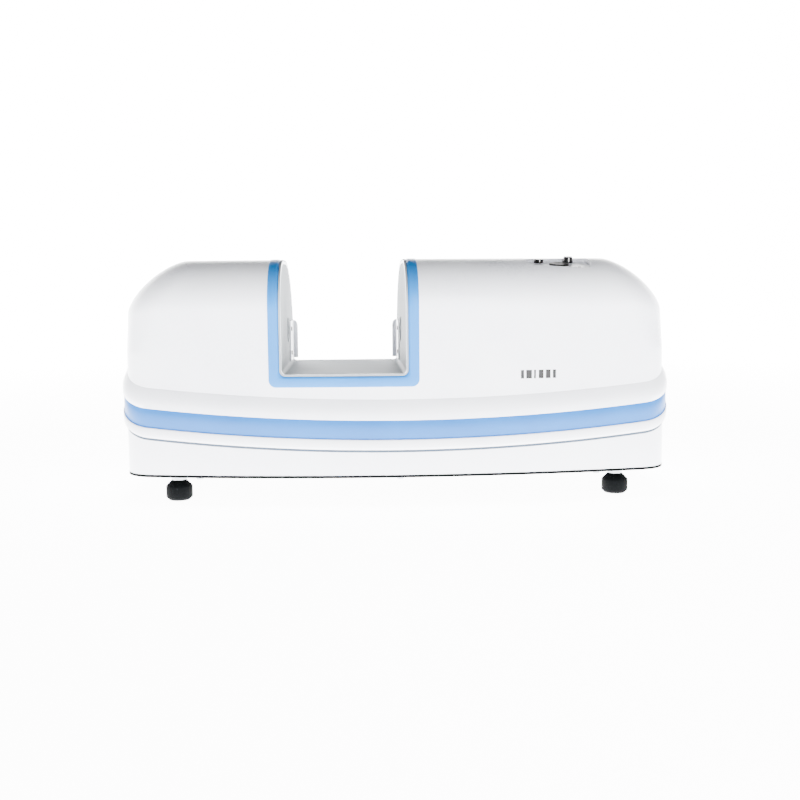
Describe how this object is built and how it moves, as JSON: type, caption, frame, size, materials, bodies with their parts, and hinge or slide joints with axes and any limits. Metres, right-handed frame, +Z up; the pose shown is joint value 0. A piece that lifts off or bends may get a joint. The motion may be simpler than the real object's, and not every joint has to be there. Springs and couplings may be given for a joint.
{
  "type": "lensmeter",
  "caption": "Bench lensmeter: a wide rounded case with a deep square lens gap between a lamp tower and a sensor tower, a raised belt, controls on top and levelling feet.",
  "frame": {"origin": "under the middle of the case, on the plane of the four feet's undersides", "axes": "+X along the case towards the sensor tower and the controls, +Y to the rear, +Z up"},
  "size_m": [0.42, 0.1786, 0.1828],
  "materials": {
    "white_abs": "glossy",
    "blue_abs": "glossy",
    "grey_abs": "satin",
    "black_steel": "satin powder coat",
    "zinc_steel": "zinc plated",
    "black_steel_screw": "black oxide",
    "black_aluminium": "black anodised",
    "bare_aluminium": "machined",
    "optical_glass": "polished",
    "rubber": "moulded",
    "black_plastic": "moulded",
    "knob_plastic": "moulded",
    "green_board": "solder masked",
    "chip_plastic": "moulded",
    "led": "moulded",
    "brass_pin": "nickel plated",
    "lead_sheath": "extruded",
    "tin_steel": "plain"
  },
  "bodies": {
    "case": {"upper_cover": "white_abs", "gap_trim": "blue_abs", "gap_liner": "grey_abs", "belt_strip": "blue_abs", "lower_shell": "white_abs", "bottom_plate": "black_steel", "bottom_screws": "zinc_steel", "left_port_ring": "grey_abs", "right_port_ring": "grey_abs", "left_window": "optical_glass", "right_window": "optical_glass", "left_rear_guide": "white_abs", "right_rear_guide": "white_abs", "guide_screws": "black_steel_screw", "control_plate": "white_abs", "small_knob_potentiometer": "black_plastic", "tall_knob_potentiometer": "black_plastic", "button_switch": "black_plastic", "control_board": "green_board", "board_pillars": "brass_pin", "optical_rail": "bare_aluminium", "rail_posts": "bare_aluminium", "rail_screws": "black_steel_screw", "lamp_bracket": "black_aluminium", "sensor_bracket": "black_aluminium", "collimator_tube": "black_aluminium", "objective_tube": "black_aluminium", "collimator_lens": "optical_glass", "objective_lens": "optical_glass", "lamp_board": "green_board", "lamp_led": "led", "lamp_heatsink": "bare_aluminium", "sensor_board": "green_board", "sensor_chip": "chip_plastic", "main_board": "green_board", "board_standoffs": "brass_pin", "board_parts": "chip_plastic", "power_supply": "tin_steel", "inlet_frame": "black_plastic", "inlet_pins": "brass_pin", "signal_leads": "lead_sheath", "power_leads": "lead_sheath", "foot_nuts": "zinc_steel"},
    "button": {"measure_button": "black_plastic"},
    "small_control": {"small_knob": "knob_plastic", "small_knob_shaft": "bare_aluminium"},
    "tall_control": {"tall_knob": "knob_plastic", "tall_knob_shaft": "bare_aluminium"},
    "rocker": {"power_rocker": "black_plastic"},
    "fuse_holder": {"fuse_drawer": "black_plastic"},
    "levelling_foot_front_left": {"foot_front_left": "rubber", "stud_front_left": "zinc_steel"},
    "levelling_foot_front_right": {"foot_front_right": "rubber", "stud_front_right": "zinc_steel"},
    "levelling_foot_rear_left": {"foot_rear_left": "rubber", "stud_rear_left": "zinc_steel"},
    "levelling_foot_rear_right": {"foot_rear_right": "rubber", "stud_rear_right": "zinc_steel"}
  },
  "joints": [
    {"name": "button_press", "type": "slide", "parent": "case", "child": "button", "axis": [0, 0.1736, -0.9848], "range_m": [0, 0.0012], "stiffness_N_per_m": 300, "springref_m": -0.0015},
    {"name": "small_control_turn", "type": "hinge", "parent": "case", "child": "small_control", "pos_m": [0.1117, -0.0316, 0.17783], "axis": [0, -0.1736, 0.9848], "range_deg": [-140, 140]},
    {"name": "tall_control_turn", "type": "hinge", "parent": "case", "child": "tall_control", "pos_m": [0.1345, -0.0316, 0.17783], "axis": [0, -0.1736, 0.9848], "range_deg": [-140, 140]},
    {"name": "rocker_tilt", "type": "hinge", "parent": "case", "child": "rocker", "pos_m": [-0.1125, 0.0805, 0.094], "axis": [-1, 0, 0], "range_deg": [0, 16]},
    {"name": "fuse_holder_pull", "type": "slide", "parent": "case", "child": "fuse_holder", "axis": [0, 1, 0], "range_m": [0, 0.014]},
    {"name": "foot_turn_front_left", "type": "hinge", "parent": "case", "child": "levelling_foot_front_left", "pos_m": [-0.168, -0.055, 0], "axis": [0, 0, 1], "continuous": true},
    {"name": "foot_turn_front_right", "type": "hinge", "parent": "case", "child": "levelling_foot_front_right", "pos_m": [0.168, -0.055, 0], "axis": [0, 0, 1], "continuous": true},
    {"name": "foot_turn_rear_left", "type": "hinge", "parent": "case", "child": "levelling_foot_rear_left", "pos_m": [-0.168, 0.055, 0], "axis": [0, 0, 1], "continuous": true},
    {"name": "foot_turn_rear_right", "type": "hinge", "parent": "case", "child": "levelling_foot_rear_right", "pos_m": [0.168, 0.055, 0], "axis": [0, 0, 1], "continuous": true}
  ]
}
